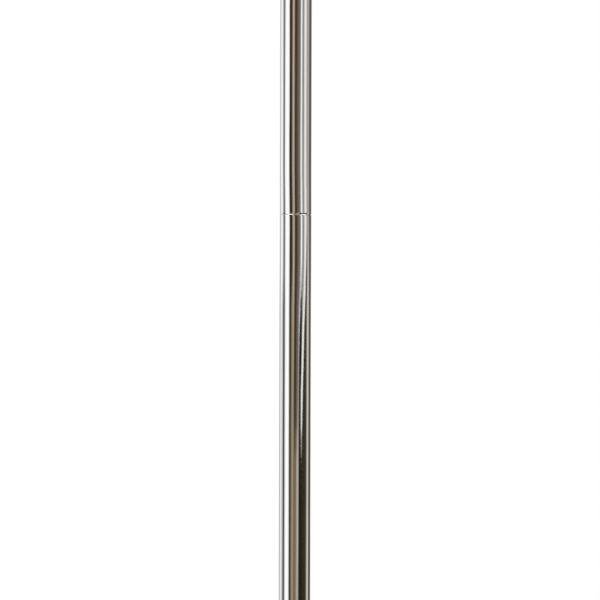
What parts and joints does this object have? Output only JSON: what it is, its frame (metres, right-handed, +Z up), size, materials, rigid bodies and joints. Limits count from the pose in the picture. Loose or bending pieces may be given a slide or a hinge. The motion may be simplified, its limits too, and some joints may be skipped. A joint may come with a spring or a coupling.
{
  "type": "iv drip stand",
  "caption": "Rolling drip stand: star base on swivel casters, joined two-piece chrome pole, and a sliding, turning upper pole with hooks and a screw lock.",
  "frame": {"origin": "on the floor, on the pole axis, which is within 4 mm of the middle of the footprint", "axes": "+Z up along the pole; leg 1 points along +Y; the height lock and its knob point along +X; the casters trail towards -Y"},
  "size_m": [0.552, 0.5699, 1.5744],
  "materials": {
    "chrome": "bright decorative chrome plate on steel",
    "zinc_steel": "clear zinc plate on pressed and turned steel",
    "cast_aluminium": "fine blasted casting",
    "brass": "turned",
    "black_nylon": "moulded, lightly textured",
    "white_nylon": "moulded, smooth",
    "rim_plastic": "moulded grey polypropylene",
    "tyre_rubber": "grey non-marking thermoplastic rubber",
    "pedal_plastic": "moulded red nylon"
  },
  "bodies": {
    "base": {"hub": "cast_aluminium", "hub_cover": "chrome", "base_bolt": "zinc_steel", "pole_plug": "zinc_steel", "lower_pole": "chrome", "upper_pole": "chrome", "joint_sleeve": "zinc_steel", "collar": "black_nylon", "collar_bush": "white_nylon", "thread_insert": "brass", "leg_1": "chrome", "leg_end_1": "black_nylon", "caster_stem_1": "zinc_steel", "leg_2": "chrome", "leg_end_2": "black_nylon", "caster_stem_2": "zinc_steel", "leg_3": "chrome", "leg_end_3": "black_nylon", "caster_stem_3": "zinc_steel", "leg_4": "chrome", "leg_end_4": "black_nylon", "caster_stem_4": "zinc_steel", "leg_5": "chrome", "leg_end_5": "black_nylon", "caster_stem_5": "zinc_steel"},
    "caster_1": {"fork_1": "zinc_steel", "axle_1": "zinc_steel"},
    "wheel_1": {"rim_1": "rim_plastic", "tyre_1": "tyre_rubber"},
    "caster_2": {"fork_2": "zinc_steel", "axle_2": "zinc_steel", "brake_pin_2": "zinc_steel"},
    "wheel_2": {"rim_2": "rim_plastic", "tyre_2": "tyre_rubber"},
    "pedal_2": {"brake_pedal_2": "pedal_plastic"},
    "caster_3": {"fork_3": "zinc_steel", "axle_3": "zinc_steel"},
    "wheel_3": {"rim_3": "rim_plastic", "tyre_3": "tyre_rubber"},
    "caster_4": {"fork_4": "zinc_steel", "axle_4": "zinc_steel"},
    "wheel_4": {"rim_4": "rim_plastic", "tyre_4": "tyre_rubber"},
    "caster_5": {"fork_5": "zinc_steel", "axle_5": "zinc_steel", "brake_pin_5": "zinc_steel"},
    "wheel_5": {"rim_5": "rim_plastic", "tyre_5": "tyre_rubber"},
    "pedal_5": {"brake_pedal_5": "pedal_plastic"},
    "lock_pad": {"pressure_pad": "white_nylon"},
    "lock_screw": {"lock_screw": "zinc_steel", "lock_knob": "black_nylon"},
    "pole_foot": {"inner_pole_foot": "white_nylon"},
    "hook_pole": {"inner_pole": "chrome", "hook_head": "chrome", "head_cap": "black_nylon", "hook_1": "chrome", "hook_2": "chrome", "hook_3": "chrome", "hook_4": "chrome"}
  },
  "joints": [
    {"name": "caster_swivel_1", "type": "hinge", "parent": "base", "child": "caster_1", "pos_m": [0, 0.27, 0.0926], "axis": [0, 0, 1], "continuous": true},
    {"name": "wheel_spin_1", "type": "hinge", "parent": "caster_1", "child": "wheel_1", "pos_m": [0, 0.244, 0.0375], "axis": [1, 0, 0], "continuous": true},
    {"name": "caster_swivel_2", "type": "hinge", "parent": "base", "child": "caster_2", "pos_m": [-0.25678, 0.08343, 0.0926], "axis": [0, 0, 1], "continuous": true},
    {"name": "wheel_spin_2", "type": "hinge", "parent": "caster_2", "child": "wheel_2", "pos_m": [-0.25678, 0.05743, 0.0375], "axis": [1, 0, 0], "continuous": true},
    {"name": "brake_press_2", "type": "hinge", "parent": "caster_2", "child": "pedal_2", "pos_m": [-0.25678, 0.04943, 0.081], "axis": [1, 0, 0], "range_deg": [0, 18]},
    {"name": "caster_swivel_3", "type": "hinge", "parent": "base", "child": "caster_3", "pos_m": [-0.1587, -0.21843, 0.0926], "axis": [0, 0, 1], "continuous": true},
    {"name": "wheel_spin_3", "type": "hinge", "parent": "caster_3", "child": "wheel_3", "pos_m": [-0.1587, -0.24444, 0.0375], "axis": [1, 0, 0], "continuous": true},
    {"name": "caster_swivel_4", "type": "hinge", "parent": "base", "child": "caster_4", "pos_m": [0.1587, -0.21843, 0.0926], "axis": [0, 0, 1], "continuous": true},
    {"name": "wheel_spin_4", "type": "hinge", "parent": "caster_4", "child": "wheel_4", "pos_m": [0.1587, -0.24444, 0.0375], "axis": [1, 0, 0], "continuous": true},
    {"name": "caster_swivel_5", "type": "hinge", "parent": "base", "child": "caster_5", "pos_m": [0.25678, 0.08343, 0.0926], "axis": [0, 0, 1], "continuous": true},
    {"name": "wheel_spin_5", "type": "hinge", "parent": "caster_5", "child": "wheel_5", "pos_m": [0.25678, 0.05743, 0.0375], "axis": [1, 0, 0], "continuous": true},
    {"name": "brake_press_5", "type": "hinge", "parent": "caster_5", "child": "pedal_5", "pos_m": [0.25678, 0.04943, 0.081], "axis": [1, 0, 0], "range_deg": [0, 18]},
    {"name": "pad_press", "type": "slide", "parent": "base", "child": "lock_pad", "axis": [1, 0, 0], "range_m": [0, 0.0025]},
    {"name": "lock_turn", "type": "hinge", "parent": "lock_pad", "child": "lock_screw", "pos_m": [0.03, 0, 1.17581], "axis": [1, 0, 0], "range_deg": [0, 720]},
    {"name": "pole_height", "type": "slide", "parent": "base", "child": "pole_foot", "axis": [0, 0, 1], "range_m": [-0.3, 0.55]},
    {"name": "hook_turn", "type": "hinge", "parent": "pole_foot", "child": "hook_pole", "pos_m": [0, 0, 0.4936], "axis": [0, 0, 1], "continuous": true}
  ],
  "couplings": [
    {"joint": "pad_press", "follows": "lock_turn", "m_per_rad": 0.0001989}
  ]
}
